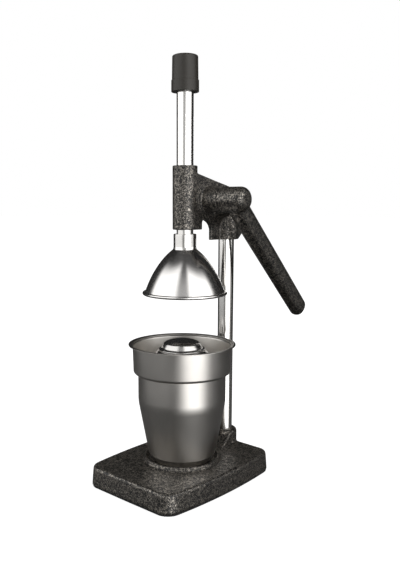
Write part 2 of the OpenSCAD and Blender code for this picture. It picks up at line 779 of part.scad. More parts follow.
module rack_rod() {
    color([0.85, 0.85, 0.86]) at_ram() difference() {
        translate([0, 0, ram_low]) cylinder(r = ram_r, h = ram_top - ram_low);
        for (k = [-teeth_below:teeth_above]) rack_gap(pinion_z + k * pitch);
        translate([-ram_r, rack_in, pinion_z - (teeth_below + 0.5) * pitch])
            cube([2 * ram_r, ram_r, (teeth_below + teeth_above + 1) * pitch]);
        translate([0, 0, ram_low - cut]) cylinder(r = bell_screw_r + seat, h = collar_h);
    }
}

module rod_cap() {
    top_r = cap_body_r - edge_break;
    color([0.12, 0.12, 0.11]) at_ram() difference() {
        rotate_extrude() polygon(concat(
            [[0, cap_low], [cap_skirt_r - edge_break, cap_low], [cap_skirt_r, cap_low + 2 * edge_break],
                [cap_skirt_r, cap_low + cap_skirt_h - edge_break],
                [cap_body_r, cap_low + cap_skirt_h]],
            arc([top_r - cap_h / 10, cap_top - cap_h / 10], cap_h / 10, 0, 90, edge_steps),
            [[0, cap_top]]));
        translate([0, 0, cap_low - cut]) cylinder(r = ram_r + seat, h = cap_depth + cut + gap);
    }
}

module bell_collar() {
    color([0.85, 0.85, 0.86]) at_ram() difference() {
        rotate_extrude() polygon([[0, bell_top], [collar_r, bell_top], [collar_r, collar_top - edge_break],
            [collar_r - edge_break, collar_top], [0, collar_top]]);
        translate([0, 0, ram_low]) cylinder(r = ram_r + seat, h = collar_h);
        translate([0, 0, bell_top - cut]) cylinder(r = bell_screw_r + gap, h = collar_h);
        translate([0, 0, collar_grub_z]) rotate([0, 0, 90])
            bar_x(collar_grub_r, 0, 2 * collar_r);
    }
}

collar_grub_z = (ram_low + collar_top) / 2;
collar_grub_r = collar_h / 8;

module collar_grub_screw() {
    color([0.2, 0.2, 0.2]) at_ram() translate([0, collar_r - end_play, collar_grub_z])
        rotate([0, 0, -90]) grub_screw(collar_grub_r - seat, collar_r - ram_r - 2 * end_play);
}

// The bell: a curve of four control points, and its inner wall set off along the normal
function bell_control(k) = [bell_shoulder_r + (bell_edge_r - bell_shoulder_r) * bell_curve_shares[k][0],
    bell_low + bell_h * bell_curve_shares[k][1]];
function bell_point(t) = pow(1 - t, 3) * bell_control(0) + 3 * pow(1 - t, 2) * t * bell_control(1)
    + 3 * (1 - t) * t * t * bell_control(2) + pow(t, 3) * bell_control(3);
function bell_slope(t) = let (d = pow(1 - t, 2) * (bell_control(1) - bell_control(0))
    + 2 * (1 - t) * t * (bell_control(2) - bell_control(1))
    + t * t * (bell_control(3) - bell_control(2))) d / norm(d);
function bell_inner(t) = bell_point(t) + bell_wall * [bell_slope(t)[1], -bell_slope(t)[0]];

module press_bell() {
    inner = [for (i = [bell_steps:-1:0]) let (p = bell_inner(i / bell_steps)) [max(0, p[0]), p[1]]];
    boss_low = bell_top - bell_boss_h;
    color([0.8, 0.8, 0.8]) at_ram() difference() {
        union() {
            rotate_extrude() polygon(concat([for (i = [0:bell_steps]) bell_point(i / bell_steps)],
                inner, [[0, inner[bell_steps][1]], [0, bell_top]]));
            translate([0, 0, boss_low]) cylinder(r = collar_r, h = bell_boss_h - bell_wall / 2);
            rotate_extrude() translate([bell_rim_r, bell_low + bell_roll_r])
                circle(r = bell_roll_r, $fn = 32);
        }
        translate([0, 0, boss_low - cut]) cylinder(r = bell_screw_r + gap, h = bell_h);
    }
}

module bell_washer() {
    boss_low = bell_top - bell_boss_h;
    color([0.7, 0.7, 0.7]) at_ram()
        tube(bell_washer_r, bell_screw_r + gap, boss_low - bell_washer_t, boss_low);
}

module bell_screw() {
    head_top = bell_top - bell_boss_h - bell_washer_t;
    color([0.7, 0.7, 0.7]) at_ram() {
        translate([0, 0, head_top - bell_head_h])
            cylinder(r = 1.7 * bell_screw_r, h = bell_head_h, $fn = 6);
        translate([0, 0, head_top - cut]) cylinder(r = bell_screw_r, h = collar_top - head_top - cut);
    }
}

// The cup: rounded foot with a bead, tapered body and a straight upper band
cup_taper_low = base_top + cup_foot_round + 0.75 * sheet_t;
cup_taper_top = cup_top - cup_band_h;
foot_r = cup_low_r - cup_foot_round;

module juice_cup() {
    color([0.36, 0.35, 0.33]) difference() {
        union() {
            rotate_extrude() polygon(concat([[0, base_top]],
                arc([foot_r, base_top + cup_foot_round], cup_foot_round, 270, 360, corner_steps),
                [[cup_low_r, cup_taper_low], [cup_band_r, cup_taper_top], [cup_band_r, cup_top],
                    [0, cup_top]]));
            rotate_extrude() translate([cup_low_r + sheet_t / 4, cup_taper_low])
                circle(r = sheet_t / 2, $fn = 32);
        }
        rotate_extrude() polygon(concat([[0, base_top + cup_floor_t]],
            arc([foot_r, base_top + cup_floor_t + cup_foot_round - sheet_t],
                cup_foot_round - sheet_t, 270, 360, corner_steps),
            [[cup_low_r - sheet_t, cup_taper_low], [cup_band_r - sheet_t, cup_taper_top],
                [cup_band_r - sheet_t, cup_top + cut], [0, cup_top + cut]]));
    }
}

// The bowl: rolled rim, flared wall, shelf on the cup's edge and a spigot with a ledge
module strainer_bowl() {
    flare_z = bowl_top - bowl_h / 3.5;
    rim_z = bowl_top - bowl_roll_r;
    shelf_z = cup_top + sheet_t;
    foot_z = cup_top + 2 * sheet_t;
    color([0.36, 0.35, 0.33]) {
        rotate_extrude() polygon([[ledge_r, cup_top - sheet_t], [shelf_in_r, cup_top - sheet_t],
            [shelf_in_r, cup_top - spigot_h], [spigot_r, cup_top - spigot_h], [spigot_r, cup_top],
            [bowl_foot_r - sheet_t, cup_top], [bowl_foot_r, foot_z - sheet_t / 2],
            [bowl_foot_r, foot_z + 2 * sheet_t], [bowl_wall_r, flare_z], [bowl_rim_r, rim_z],
            [bowl_rim_r - sheet_t, rim_z], [bowl_wall_r - sheet_t, flare_z],
            [bowl_foot_r - sheet_t, foot_z + 2 * sheet_t], [bowl_foot_r - sheet_t, foot_z],
            [bowl_foot_r - 2 * sheet_t, shelf_z], [shelf_in_r, shelf_z], [shelf_in_r, cup_top],
            [ledge_r, cup_top]]);
        rotate_extrude() translate([bowl_rim_r, rim_z]) circle(r = bowl_roll_r, $fn = 32);
        rotate_extrude() translate([bowl_foot_r - sheet_t / 4, foot_z]) circle(r = sheet_t, $fn = 32);
    }
}

module strainer_plate() {
    first_ring = reamer_foot_r + strainer_hole_d;
    strainer_rings = [first_ring, min(first_ring + strainer_ring_step, plate_r - strainer_hole_d)];
    color([0.7, 0.7, 0.7]) difference() {
        tube(plate_r, plate_hole_r, plate_low, plate_low + plate_t);
        for (r = strainer_rings) {
            n = floor(2 * PI * r / (2 * strainer_hole_d));
            for (i = [0:n - 1]) rotate([0, 0, 360 * i / n]) translate([r, 0, plate_low - cut])
                cylinder(r = strainer_hole_d / 2, h = plate_t + 2 * cut, $fn = 24);
        }
    }
}

// The reamer: a hollow cone with a flange and a round knob, and a lip that centres it
module reamer() {
    knob_h = reamer_h / 3;
    round_r = knob_h / 2.4;
    flange_z = reamer_top - knob_h - reamer_wall / 2;
    color([0.42, 0.41, 0.39]) difference() {
        rotate_extrude() polygon(concat([[0, plate_low], [plate_hole_r - gap, plate_low],
            [plate_hole_r - gap, reamer_low], [reamer_foot_r, reamer_low],
            [reamer_foot_r, reamer_low + reamer_wall]],
            arc([flange_r - reamer_wall / 2, flange_z - reamer_wall / 2], reamer_wall / 2, 0, 90, edge_steps),
            arc([knob_r + reamer_wall, flange_z + reamer_wall], reamer_wall, 270, 180, edge_steps),
            arc([knob_r - round_r, reamer_top - round_r], round_r, 0, 90, corner_steps),
            [[0, reamer_top]]));
        rotate_extrude() polygon([[0, plate_low - cut], [plate_hole_r - 2 * reamer_wall, plate_low - cut],
            [knob_r - reamer_wall, flange_z], [knob_r - 2 * round_r, reamer_top - reamer_wall],
            [0, reamer_top - reamer_wall]]);
    }
}

base_casting();
base_mat();
post();
post_washer();
post_nut();
head_casting();
post_set_screws();
upper_guide_bush();
lower_guide_bush();
gear_cover();
cover_screws();
cover_bush();
barrel_bush();
thrust_washer();
pinion();
pinion_key();
pinion_shaft();
shaft_washer();
retaining_ring();
lever();
lever_key();
lever_grub_screws();
rack_rod();
rod_cap();
bell_collar();
collar_grub_screw();
press_bell();
bell_washer();
bell_screw();
juice_cup();
strainer_bowl();
strainer_plate();
reamer();
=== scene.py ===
# %% [markdown]
# # A lever citrus press, dressed around its solids
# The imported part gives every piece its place. This script loads it as a fixed frame, makes the
# pieces that show again as finer surfaces, gives every piece its finish, and lights the press as
# a catalogue picture is lit. Blender counts in metres. Outlines are written in millimetres, as a
# maker reads them, and become metres when they go into a mesh.

import json
import math

import bmesh
import bpy
import numpy as np
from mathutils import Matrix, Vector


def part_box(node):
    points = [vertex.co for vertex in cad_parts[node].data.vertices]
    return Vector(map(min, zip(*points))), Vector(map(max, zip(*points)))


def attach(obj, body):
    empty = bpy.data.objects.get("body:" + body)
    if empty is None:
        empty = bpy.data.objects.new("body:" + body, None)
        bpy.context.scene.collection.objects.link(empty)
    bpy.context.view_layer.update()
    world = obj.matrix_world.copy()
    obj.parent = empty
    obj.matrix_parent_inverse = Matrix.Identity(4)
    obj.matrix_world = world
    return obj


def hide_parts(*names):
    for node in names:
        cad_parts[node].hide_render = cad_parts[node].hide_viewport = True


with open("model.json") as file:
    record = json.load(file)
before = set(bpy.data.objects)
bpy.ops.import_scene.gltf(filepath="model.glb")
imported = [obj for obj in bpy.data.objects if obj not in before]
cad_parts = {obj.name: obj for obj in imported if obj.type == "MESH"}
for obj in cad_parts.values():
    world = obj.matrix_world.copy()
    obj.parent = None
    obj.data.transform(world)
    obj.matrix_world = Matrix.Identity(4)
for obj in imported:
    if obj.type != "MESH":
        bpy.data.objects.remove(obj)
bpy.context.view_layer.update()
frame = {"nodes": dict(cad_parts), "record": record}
nodes = frame["nodes"]
slots = {part["node"]: part["material_slot"] for part in frame["record"]["subparts"]}
mm = 0.001

# %% [markdown]
# ## Where things are
# A piece that is made again has to sit exactly where its solid is. Its place could be typed in,
# but then it would stay behind when the solid moves. So the boxes of the solids give the axes,
# the heights and the widths: the washer in the bell, the post and the strainer plate are round,
# and the middle of each of their boxes lies on an axis of the press.

# %% Axes, heights and widths from the solids
def middle(node):
    """The middle of a node's box, in metres: the mean of its lowest and highest corner."""
    low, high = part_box(node)
    return (np.array(low) + np.array(high)) / 2


def heights(node):
    """The lowest and the highest height of a node's box, in mm."""
    return tuple(corner[2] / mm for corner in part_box(node))


def half_span(node, along=0):
    """Half of a node's box along X (0) or Y (1), in mm: the outer radius of a round piece."""
    low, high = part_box(node)
    return (high[along] - low[along]) / 2 / mm


ram_axis = middle("bell_washer")[:2]
post_axis = middle("post")[:2]
cup_axis = middle("strainer_plate")[:2]
print("ram axis", ram_axis, "post axis", post_axis, "cup axis", cup_axis)

# %% [markdown]
# ## Finishes
# The press has paint, chrome, polished and satin steel, machined steel, bronze and rubber. Each
# could be a picture wrapped round the piece, but nodes need no unwrapping and no seams. They read
# Object coordinates, so a pattern has a real size: a noise of scale 400 repeats every 2.5 mm.
# Values that are the same all over are set on the shader itself, and only what varies comes
# through a link. Where a link drives a value, the shader still holds a plain one, for programs
# that can't follow the nodes.

# %% A material to build up
class Finish:
    """A material under construction: its shader, and the place that every pattern reads."""

    def __init__(self, name, colour, metallic, roughness):
        self.material = bpy.data.materials.new(name)
        self.material.use_nodes = True
        self.tree = self.material.node_tree
        self.shader = self.tree.nodes["Principled BSDF"]
        self.shader.inputs["Base Color"].default_value = (*colour, 1)
        self.shader.inputs["Metallic"].default_value = metallic
        self.shader.inputs["Roughness"].default_value = roughness
        self.place = self.add("ShaderNodeTexCoord").outputs["Object"]

    def add(self, kind, **settings):
        """A new node of a kind, with its settings."""
        node = self.tree.nodes.new(kind)
        for key, value in settings.items():
            setattr(node, key, value)
        return node

    def join(self, output, target):
        """A link from a node's output to another node's socket."""
        self.tree.links.new(output, target)

    def feed(self, socket, value):
        """A link from a node's output to one of the shader's sockets."""
        self.join(value, self.shader.inputs[socket])

# %% [markdown]
# Four small tools make every pattern here: a noise, a colour ramp that the noise walks along, a
# change of range that turns the noise into a gloss, and a relief. A fifth adds two noises.

# %% Noise and what it turns into
def noise(finish, scale, detail=2.0, roughness=0.5, distortion=0.0, squeeze=(1, 1, 1)):
    """Noise whose grain is as long as 1 / scale metres, squeezed along each axis by a factor."""
    mapping = finish.add("ShaderNodeMapping")
    mapping.inputs["Scale"].default_value = squeeze
    finish.join(finish.place, mapping.inputs["Vector"])
    grain = finish.add("ShaderNodeTexNoise")
    finish.join(mapping.outputs["Vector"], grain.inputs["Vector"])
    settings = {"Scale": scale, "Detail": detail, "Roughness": roughness, "Distortion": distortion}
    for socket, value in settings.items():
        grain.inputs[socket].default_value = value
    return grain.outputs["Fac"]


def plus_share(finish, value, other, share):
    """A value plus a share of another one."""
    node = finish.add("ShaderNodeMath", operation="MULTIPLY_ADD")
    finish.join(other, node.inputs[0])
    node.inputs[1].default_value = share
    finish.join(value, node.inputs[2])
    return node.outputs[0]


def ramp(finish, value, stops):
    """Turns a value into a colour, through stops of (position, colour)."""
    node = finish.add("ShaderNodeValToRGB")
    elements = node.color_ramp.elements
    while len(elements) < len(stops):
        elements.new(0.5)
    for element, (position, colour) in zip(elements, stops):
        element.position = position
        element.color = (*colour, 1)
    finish.join(value, node.inputs["Fac"])
    return node.outputs["Color"]

# %% Gloss and relief
def spread(finish, value, low, high, start=0.3, end=0.7):
    """Maps a value from start..end to low..high. A noise keeps mostly to 0.3..0.7."""
    node = finish.add("ShaderNodeMapRange")
    settings = {"From Min": start, "From Max": end, "To Min": low, "To Max": high}
    for socket, number in settings.items():
        node.inputs[socket].default_value = number
    finish.join(value, node.inputs["Value"])
    return node.outputs["Result"]


def relief(finish, value, depth, strength):
    """Bump: the value lifts the surface by up to the depth, in metres."""
    node = finish.add("ShaderNodeBump")
    node.inputs["Distance"].default_value = depth
    node.inputs["Strength"].default_value = strength
    finish.join(value, node.inputs["Height"])
    finish.feed("Normal", node.outputs["Normal"])

# %% [markdown]
# Base, head and lever wear hammertone paint. It draws itself into small dimples as it dries, and
# its metal flakes gather on the rims between them. Real dimples in the mesh would need millions
# of faces, so one noise, bent back on itself, gives the colour, the gloss and the relief
# together: rims are lighter, shine like metal and stand up, dimples are dark and matt. A second,
# finer noise breaks the rims up, as the flakes do.

# %% Hammertone paint
def hammertone():
    """Dimples and rims: below rim_begins the paint is plain, above rim_full it is all flakes."""
    dimple, slope, rim = (0.006, 0.0055, 0.0047), (0.022, 0.0200, 0.0172), (0.38, 0.348, 0.305)
    rim_begins, rim_full, flake_share = 0.58, 0.71, 0.22
    finish = Finish("hammertone_paint", (0.03, 0.03, 0.03), metallic=0.3, roughness=0.34)
    worms = noise(finish, 400, detail=2.5, roughness=0.6, distortion=1.6)
    flakes = noise(finish, 1500, detail=1.0)
    mixed = plus_share(finish, worms, flakes, flake_share)
    colour = ramp(finish, mixed, [(0.54, dimple), (0.61, slope), (rim_full, rim)])
    shine = spread(finish, mixed, low=0.0, high=0.75, start=rim_begins, end=rim_full)
    finish.feed("Base Color", colour)
    finish.feed("Metallic", shine)
    finish.feed("Roughness", spread(finish, mixed, low=0.42, high=0.26, start=0.5, end=0.75))
    relief(finish, worms, depth=0.40 * mm, strength=0.9)
    return finish.material


paint = hammertone()
print(paint.name, "has", len(paint.node_tree.nodes), "nodes")

# %% [markdown]
# Ram, post and collar are chromed, and the bell is spun from sheet and polished. Both are nearly
# all reflection, so the finish is a bright metal and the room round it does the rest. What tells
# the real thing from a perfect mirror is the gloss: it changes a little in narrow rings round the
# axis, as turning and polishing leave it, so the noise is squeezed along Z.

# %% Chrome and polished sheet
def ringed_metal(name, colour, scale, squeeze_z, gloss):
    """A mirror whose roughness wanders between the two values of gloss, in rings round Z."""
    finish = Finish(name, colour, metallic=1.0, roughness=sum(gloss) / 2)
    rings = noise(finish, scale, detail=3.0, squeeze=(1, 1, squeeze_z))
    finish.feed("Roughness", spread(finish, rings, *gloss))
    return finish.material


bar_chrome = ringed_metal("chromed_bar", (0.82, 0.805, 0.78), scale=160, squeeze_z=6,
                          gloss=(0.17, 0.20))
bell_polish = ringed_metal("polished_bell", (0.82, 0.80, 0.78), scale=90, squeeze_z=8,
                           gloss=(0.18, 0.23))
print("bright metals:", bar_chrome.name, bell_polish.name)

# %% [markdown]
# Cup, bowl and reamer are stainless steel blasted with fine glass beads. The blasting could be
# drawn as scratches, but its grain is too fine to see from here. It shows only as a soft gloss,
# which changes a little from place to place, where hands have held it.

# %% Satin steel
def satin_sheet(name, colour, roughness):
    """A metal with a cloudy gloss, from a little below to a little above its roughness, and a
    relief of four thousandths of a millimetre."""
    finish = Finish(name, colour, metallic=1.0, roughness=roughness)
    cloudy = noise(finish, 35, detail=3.0)
    finish.feed("Roughness", spread(finish, cloudy, roughness - 0.02, roughness + 0.03))
    relief(finish, noise(finish, 2500), depth=0.004 * mm, strength=0.3)
    return finish.material


cup_satin = satin_sheet("satin_cup", (0.57, 0.55, 0.52), roughness=0.33)
reamer_satin = satin_sheet("satin_reamer", (0.62, 0.605, 0.585), roughness=0.2)
print("satin metals:", cup_satin.name, reamer_satin.name)

# %% [markdown]
# The cap on the ram and the mat under the base are moulded rubber. Rubber is matt with a fine
# grain from its mould, so one fine noise drives the colour, the gloss and the relief.

# %% Rubber
def rubber(name, colour, roughness):
    """Colour from 0.85 of itself to itself along the grain, and gloss and relief with it."""
    hollow_share = 0.85
    finish = Finish(name, colour, metallic=0.0, roughness=roughness)
    grain = noise(finish, 900, detail=4.0, roughness=0.65)
    hollow = tuple(hollow_share * c for c in colour)
    finish.feed("Base Color", ramp(finish, grain, [(0.3, hollow), (0.7, colour)]))
    finish.feed("Roughness", spread(finish, grain, roughness - 0.05, roughness + 0.08))
    relief(finish, grain, depth=0.05 * mm, strength=0.4)
    return finish.material


finishes = {
    "mat_rubber": rubber("mat_rubber", (0.012, 0.012, 0.012), roughness=0.7),
    "cap_rubber": rubber("cap_rubber", (0.058, 0.052, 0.043), roughness=0.43),
}
print("rubbers:", list(finishes))

# %% [markdown]
# Gears, shaft, screws and bushes are machined and oiled. They hardly show, but they are seen when
# the press is taken apart, so they get a finish too: stains of oil and wear darken the metal and
# make it rougher in places.

# %% Machined steel and bronze
def machined(name, colour, roughness):
    """Colour from 0.7 of itself to itself as the wear grows, with a roughness that follows."""
    stain_share = 0.7
    finish = Finish(name, colour, metallic=1.0, roughness=roughness)
    wear = noise(finish, 250, detail=4.0, roughness=0.6)
    finish.feed("Roughness", spread(finish, wear, roughness - 0.06, roughness + 0.12))
    stain = tuple(stain_share * c for c in colour)
    finish.feed("Base Color", ramp(finish, wear, [(0.3, stain), (0.6, colour)]))
    return finish.material


machined_metals = [
    # slot, colour, roughness
    ("gear_steel", (0.42, 0.41, 0.40), 0.3),
    ("dark_steel", (0.06, 0.06, 0.062), 0.4),
    ("screw_steel", (0.6, 0.6, 0.6), 0.28),
    ("bush_bronze", (0.55, 0.36, 0.18), 0.35),
]
for name, colour, roughness in machined_metals:
    finishes[name] = machined(name, colour, roughness)
print("finishes so far:", list(finishes))

# %% [markdown]
# Every solid gets the finish of its slot in the record, also those that a finer piece will stand
# for. So what nobody dresses again, such as a screw or a bush, is never bare.

# %% Finishes on the solids
finishes |= {"hammertone": paint, "chromed_bar": bar_chrome, "polished_sheet": bell_polish,
             "satin_sheet": cup_satin}
for node, slot in slots.items():
    for place in nodes[node].material_slots:
        place.link = "OBJECT"
        place.material = finishes[slot]
print("finishes on", len(slots), "nodes")

# %% [markdown]
# ## Castings
# Base, head, lever and gear cover are sand castings, and a casting has no sharp edge, inside or
# out. A bevel on each edge would fail where many small faces meet. So the solid is copied, its
# loose triangles are merged, and the copy is made of small even cells and relaxed, which rounds
# every edge and fills every corner, as the sand and the paint do.

# %% Castings
def casting(node, body, cell, passes):
    """A copy of a solid with merged triangles, cut into cells of an even size and relaxed by
    moving each point half way to the mean of its neighbours, a number of times."""
    merge_gap = 0.005 * mm
    mesh = nodes[node].data.copy()
    work = bmesh.new()
    work.from_mesh(mesh)
    bmesh.ops.remove_doubles(work, verts=work.verts, dist=merge_gap)
    work.to_mesh(mesh)
    work.free()
    piece = bpy.data.objects.new(node + "_cast", mesh)
    bpy.context.scene.collection.objects.link(piece)
    cells = piece.modifiers.new("cells", "REMESH")
    cells.mode = "VOXEL"
    cells.voxel_size = cell
    cells.use_smooth_shade = True
    relax = piece.modifiers.new("relax", "SMOOTH")
    relax.factor = 0.5
    relax.iterations = passes
    depsgraph = bpy.context.evaluated_depsgraph_get()
    made = bpy.data.meshes.new_from_object(piece.evaluated_get(depsgraph))
    piece.modifiers.clear()
    piece.data = made
    made.materials.clear()
    made.materials.append(paint)
    made.shade_smooth()
    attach(piece, body)
    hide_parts(node)
    print(piece.name, len(made.vertices), "points")


casting("base_casting", "frame", 1.1 * mm, passes=4)
casting("head_casting", "frame", 0.85 * mm, passes=5)
casting("lever", "lever", 0.85 * mm, passes=6)
casting("gear_cover", "frame", 0.6 * mm, passes=3)

# %% [markdown]
# ## From numbers to a mesh
# Everything else that shows is round. A turned piece is a grid: one row for each point of its
# outline, one column for each step round its axis. The Screw modifier could turn an outline too,
# but whole arrays of numbers keep the seam closed and every face the right way out.

# %% A new piece
def new_piece(name, points, faces, material, body, stands_for, sharp=35.0):
    """Makes a mesh object from vertex places and faces, smooth but for edges above an angle,
    puts it on a body and hides the named solids, which it stands for."""
    mesh = bpy.data.meshes.new(name)
    mesh.from_pydata(points, [], faces)
    mesh.validate()
    mesh.shade_smooth()
    mesh.set_sharp_from_angle(angle=math.radians(sharp))
    mesh.materials.append(material)
    piece = bpy.data.objects.new(name, mesh)
    bpy.context.scene.collection.objects.link(piece)
    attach(piece, body)
    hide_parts(*stands_for)
    print(name, len(mesh.vertices), "points")

# %% Faces of a grid
def grid_faces(rows, columns, wrap_rows):
    """Quads between neighbouring rows and columns. Columns always close round; rows close
    only if the outline is a loop. The corner order makes the faces look outwards when the
    outline runs counter-clockwise in radius and height."""
    last = rows if wrap_rows else rows - 1
    i, j = np.meshgrid(np.arange(last), np.arange(columns), indexing="ij")
    up, side = (i + 1) % rows, (j + 1) % columns
    corners = [i * columns + j, i * columns + side, up * columns + side, up * columns + j]
    return np.stack(corners, -1).reshape(-1, 4).tolist()


def pole_faces(count, columns):
    """Triangles from the first and the last row of a grid of count points to one pole each.
    The poles follow the grid, so they are points number count and count + 1."""
    j = np.arange(columns)
    side = (j + 1) % columns
    top = count - columns
    first = np.stack([np.full(columns, count), side, j], -1)
    last = np.stack([np.full(columns, count + 1), top + j, top + side], -1)
    return first.tolist() + last.tolist()


print("a tube of 3 rows and 8 columns has", len(grid_faces(3, 8, False)), "quads and", end=" ")
print(len(pole_faces(3 * 8, 8)), "triangles at its poles")

# %% Turning an outline
on_axis = 1e-9


def turned(name, outline, axis, material, body, stands_for, columns=160, lying=False):
    """Turns an outline of (radius, height) points round an upright axis: x and y are the axis
    plus radius times cosine and sine of the turn, z is the height. An outline that starts and
    ends at radius 0 gets a single point at each pole, any other outline is a closed loop. A
    lying piece has its axis along X, at the given y and z: x, y and z change places in a ring,
    which keeps the faces outwards."""
    outline = np.asarray(outline)
    poled = outline[0, 0] < on_axis and outline[-1, 0] < on_axis
    ring = outline[1:-1] if poled else outline
    turn = np.linspace(0, 2 * np.pi, columns, endpoint=False)
    x = axis[0] + ring[:, :1] * np.cos(turn)
    y = axis[1] + ring[:, :1] * np.sin(turn)
    z = np.repeat(ring[:, 1:], columns, axis=1)
    points = np.stack([x, y, z], -1).reshape(-1, 3)
    faces = grid_faces(len(ring), columns, not poled)
    if poled:
        faces += pole_faces(len(points), columns)
        poles = [(axis[0], axis[1], outline[0, 1]), (axis[0], axis[1], outline[-1, 1])]
        points = np.vstack([points, poles])
    if lying:
        points = np.roll(points, 1, axis=1)
    new_piece(name, points, faces, material, body, stands_for)

# %% [markdown]
# ## Outlines with rounded corners
# Real turned and pressed parts have no knife edges. A Bevel modifier would round every corner
# alike, so each corner of an outline has a rounding of its own instead, which becomes an arc that
# touches both neighbours. A guard point close to each end of the arc keeps the shading of the
# straight stretch flat, as an edge loop does when one models by hand.

# %% Rounded corners
reach_share, guard_gap, guard_share = 0.48, 0.25, 0.3


def rounded(corners, closed, steps=6):
    """Outline from corners (radius, height, rounding) in mm. An arc of the rounding's radius
    touches both sides of the corner: its centre lies on the bisector, at the radius over the
    sine of half the angle, and the arc swings from the one touching point to the other. It
    takes at most reach_share of the shorter side, and a guard point lies at most guard_gap past
    each of its ends."""
    places = np.array([corner[:2] for corner in corners], float)
    count = len(corners)
    outline = []
    for i, (place, corner) in enumerate(zip(places, corners)):
        if corner[2] == 0 or (not closed and i in (0, count - 1)):
            outline.append(place)
            continue
        before, after = places[i - 1] - place, places[(i + 1) % count] - place
        short = min(np.linalg.norm(before), np.linalg.norm(after))
        before, after = before / np.linalg.norm(before), after / np.linalg.norm(after)
        half = math.acos(np.clip(before @ after, -1, 1)) / 2
        radius = min(corner[2], reach_share * short * math.tan(half))
        reach = radius / math.tan(half)
        bisector = (before + after) / np.linalg.norm(before + after)
        centre = place + bisector * radius / math.sin(half)
        swing = math.pi - 2 * half
        first, last = place + before * reach - centre, place + after * reach - centre
        guard = min(guard_gap, guard_share * (short - reach))
        outline.append(place + before * (reach + guard))
        for w in np.linspace(0, 1, steps + 1):
            arm = math.sin((1 - w) * swing) * first + math.sin(w * swing) * last
            outline.append(centre + arm / math.sin(swing))
        outline.append(place + after * (reach + guard))
    return np.array(outline) * mm


# roundings of a cut, a filed and a broken edge, in mm
crisp, filed, broken = 0.2, 0.3, 0.5
square = [(0, 0, filed), (9, 0, broken), (9, 9, 4), (0, 9, 0)]
print("a square with three rounded corners has", len(rounded(square, True)), "points")

# %% [markdown]
# ## Pad at the barrel's root
# The barrel stands on a low round pad on the web's side, with a hollow rounding up to the
# barrel, as a founder's pattern has it so that the iron fills the barrel and the pattern draws.
# It could be cut into the head's cells, but they are too coarse for its edge. So it is a turned
# piece that lies along the shaft, and its hidden side is sunk into web and barrel.

# %% Pad
shaft_line = middle("pinion_shaft")[1:]
barrel_r, web_x, pad_r = 14.8, 14.8, 21.6
core_r, skin_r = barrel_r - 1.2, barrel_r + 0.05
sunk_x, pad_x, root_x = web_x - 1.5, web_x + 0.9, web_x + 7.5
step_foot, step_head = (barrel_r + 4.2, web_x + 1.0), (barrel_r + 3.8, web_x + 1.5)
root_corner = (skin_r, web_x + 1.6)
pad_round, step_round, root_round = 0.6, 0.4, 2.5
pad_outline = rounded([
    (core_r, sunk_x, 0), (pad_r, sunk_x, crisp), (pad_r, pad_x, pad_round), (*step_foot, broken),
    (*step_head, step_round), (*root_corner, root_round), (skin_r, root_x, crisp),
    (core_r, root_x, 0)], True)
turned("barrel_root", pad_outline, shaft_line, paint, "frame", ["head_casting"],
       columns=120, lying=True)

# %% [markdown]
# ## Ring for the cup
# A cast ring on the base keeps the cup in its place. It is only a few millimetres wide, so the
# cells of the casting would lose its two beads. It gets a surface of its own, a rounded bead, a
# groove and a lower bead outside it, turned round the cup's axis. Its skirt runs a little into
# the base, so no gap can show.

# %% Cup ring
def arc_points(centre, radius, start, end, steps):
    """Points on a circle round (radius, height), from one angle in degrees to another."""
    angle = np.radians(np.linspace(start, end, steps + 1))
    return [(centre[0] + radius * math.cos(a), centre[1] + radius * math.sin(a), 0) for a in angle]


ring_r, ring_bead, ring_h, ring_sunk = 44.8, 1.6, 4.5, 0.6
base_top = heights("juice_cup")[0]
upper = (ring_r, base_top + ring_h - ring_bead)
outer = (ring_r + ring_bead, base_top + ring_bead / 2)
ring_skirt = base_top - ring_sunk
ring_outline = ([(outer[0] + ring_bead, ring_skirt, 0)]
                + arc_points(outer, ring_bead, start=-5, end=78, steps=10)
                + arc_points(upper, ring_bead, start=-22, end=180, steps=24)
                + [(ring_r - ring_bead, ring_skirt, 0)])
ring_outline = np.array(ring_outline)[:, :2] * mm
turned("cup_ring", ring_outline, cup_axis, paint, "frame", ["base_casting"], columns=240)

# %% [markdown]
# ## Post
# The post is a plain chromed bar with a thinner stud at its foot, which the nut under the base
# holds. A cylinder would do but for its edges, which catch the light, so it is turned from an
# outline like the rest.

# %% Post
post_low, post_high = heights("post")
post_r = half_span("post")
stud_r, shoulder = 5.0, 14.5
foot_round, head_round = 0.6, 0.8
turned("post_bar", rounded([
    (0, post_low, 0), (stud_r, post_low, broken), (stud_r, shoulder, crisp),
    (post_r, shoulder, foot_round), (post_r, post_high, head_round), (0, post_high, 0)], False),
    post_axis, bar_chrome, "frame", ["post"])

# %% [markdown]
# ## Ram and rack
# The ram is a chromed bar with a rack cut into its back, which the pinion drives. The teeth could
# be cut with a Boolean, but its faces shade badly on a mirror. Across each height the ram's
# section is an arc and a chord: the arc is the bar, the chord is where the cutter has passed. The
# chord's depth follows the teeth, so one function of height gives the whole rack.

